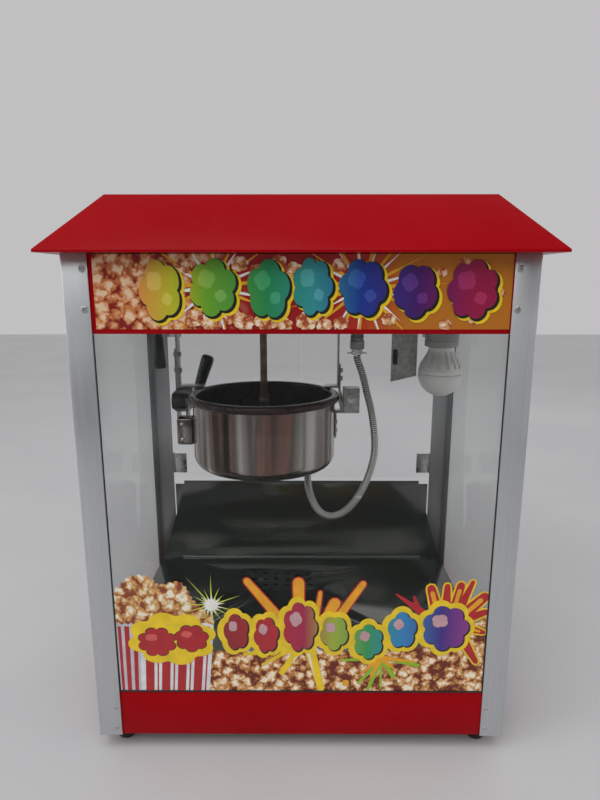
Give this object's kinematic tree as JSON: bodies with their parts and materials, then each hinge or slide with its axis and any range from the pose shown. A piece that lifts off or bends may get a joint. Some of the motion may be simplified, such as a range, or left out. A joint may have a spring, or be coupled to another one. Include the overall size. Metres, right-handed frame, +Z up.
{
  "type": "countertop popcorn maker",
  "caption": "Glazed cabinet with a hipped roof, a tilting motor stirred kettle, perforated floor, hinged rear doors and a crumb drawer.",
  "frame": {"origin": "on the surface the machine stands on, under the middle of the roof", "axes": "+X to the viewer's right, +Y from the glazed front to the operator's doors, +Z up"},
  "size_m": [0.56, 0.42, 0.6868],
  "materials": {
    "red_paint": "gloss red powder coat",
    "aluminium": "satin anodised extrusion",
    "stainless": "brushed stainless steel",
    "zinc_steel": "dull zinc plated steel",
    "glass": "clear tempered glass",
    "clear_acrylic": "clear acrylic sheet",
    "rubber": "matt black rubber",
    "black_plastic": "moulded black plastic",
    "hinge_chrome": "worn bright plating",
    "conduit_steel": "bright interlocked steel strip",
    "black_steel": "dark oxide on steel",
    "pan_coating": "dark satin non-stick coating",
    "shaft_steel": "heat stained steel",
    "lamp_grey": "matt grey moulding",
    "bulb_white": "opal white diffuser"
  },
  "bodies": {
    "cabinet": {"corner_post_front_left": "aluminium", "corner_post_front_right": "aluminium", "corner_post_rear_left": "aluminium", "corner_post_rear_right": "aluminium", "base_front_panel": "red_paint", "base_left_panel": "red_paint", "base_right_panel": "red_paint", "base_rear_panel": "red_paint", "bottom_plate": "zinc_steel", "foot_front_left": "rubber", "foot_front_right": "rubber", "foot_rear_left": "rubber", "foot_rear_right": "rubber", "floor_pan": "stainless", "rear_apron": "stainless", "front_glass": "glass", "left_glass": "glass", "right_glass": "glass", "header_front_panel": "red_paint", "header_left_panel": "red_paint", "header_right_panel": "red_paint", "control_panel": "red_paint", "header_floor": "zinc_steel", "roof": "red_paint", "gear_motor": "zinc_steel", "lamp_holder": "lamp_grey", "lamp_bulb": "bulb_white", "lamp_shield": "zinc_steel", "conduit_fitting": "conduit_steel", "kettle_conduit": "conduit_steel", "hanger_left": "zinc_steel", "hanger_right": "zinc_steel", "pivot_plate_left": "zinc_steel", "pivot_plate_right": "zinc_steel", "pivot_bearing_left": "black_steel", "hinge_lower_left": "hinge_chrome", "hinge_upper_left": "hinge_chrome", "hinge_lower_right": "hinge_chrome", "hinge_upper_right": "hinge_chrome", "switch_housing": "black_plastic", "cord_gland": "black_plastic"},
    "left_door": {"door_panel_left": "clear_acrylic", "door_knob_left": "black_plastic"},
    "right_door": {"door_panel_right": "clear_acrylic", "door_knob_right": "black_plastic"},
    "kettle": {"kettle_pan": "pan_coating", "kettle_jacket": "stainless", "heater_plate": "zinc_steel", "kettle_ear_left": "stainless", "kettle_ear_right": "zinc_steel", "kettle_handle_rod": "zinc_steel", "kettle_grip": "black_plastic"},
    "stirrer": {"agitator": "stainless"},
    "drive": {"drive_shaft": "shaft_steel"},
    "latch": {"latch_lever": "zinc_steel", "latch_grip": "black_plastic"},
    "drawer": {"crumb_drawer": "stainless"},
    "motor_rocker": {"rocker_motor": "black_plastic"},
    "heat_rocker": {"rocker_heat": "black_plastic"},
    "light_rocker": {"rocker_light": "black_plastic"}
  },
  "joints": [
    {"name": "left_door_hinge", "type": "hinge", "parent": "cabinet", "child": "left_door", "pos_m": [-0.229, 0.1925, 0.392], "axis": [0, 0, 1], "range_deg": [0, 110]},
    {"name": "right_door_hinge", "type": "hinge", "parent": "cabinet", "child": "right_door", "pos_m": [0.229, 0.1925, 0.392], "axis": [0, 0, -1], "range_deg": [0, 110]},
    {"name": "kettle_tilt", "type": "hinge", "parent": "cabinet", "child": "kettle", "pos_m": [-0.0535, 0, 0.424], "axis": [-1, 0, 0], "range_deg": [0, 75], "deforming": ["kettle_conduit"]},
    {"name": "shaft_spin", "type": "hinge", "parent": "cabinet", "child": "drive", "pos_m": [-0.0535, 0, 0.47], "axis": [0, 0, 1], "continuous": true},
    {"name": "stirrer_spin", "type": "hinge", "parent": "kettle", "child": "stirrer", "pos_m": [-0.0535, 0, 0.38], "axis": [0, 0, 1], "continuous": true},
    {"name": "latch_swing", "type": "hinge", "parent": "cabinet", "child": "latch", "pos_m": [-0.2023, 0, 0.531], "axis": [1, 0, 0], "range_deg": [-35, 35]},
    {"name": "drawer_slide", "type": "slide", "parent": "cabinet", "child": "drawer", "axis": [0, 1, 0], "range_m": [0, 0.22]},
    {"name": "motor_rocker_tilt", "type": "hinge", "parent": "cabinet", "child": "motor_rocker", "pos_m": [0.092, 0.1831, 0.58], "axis": [-1, 0, 0], "range_deg": [0, 16]},
    {"name": "heat_rocker_tilt", "type": "hinge", "parent": "cabinet", "child": "heat_rocker", "pos_m": [0.13, 0.1831, 0.58], "axis": [-1, 0, 0], "range_deg": [0, 16]},
    {"name": "light_rocker_tilt", "type": "hinge", "parent": "cabinet", "child": "light_rocker", "pos_m": [0.168, 0.1831, 0.58], "axis": [-1, 0, 0], "range_deg": [0, 16]}
  ],
  "couplings": [
    {"joint": "shaft_spin", "follows": "stirrer_spin", "ratio": 1}
  ]
}
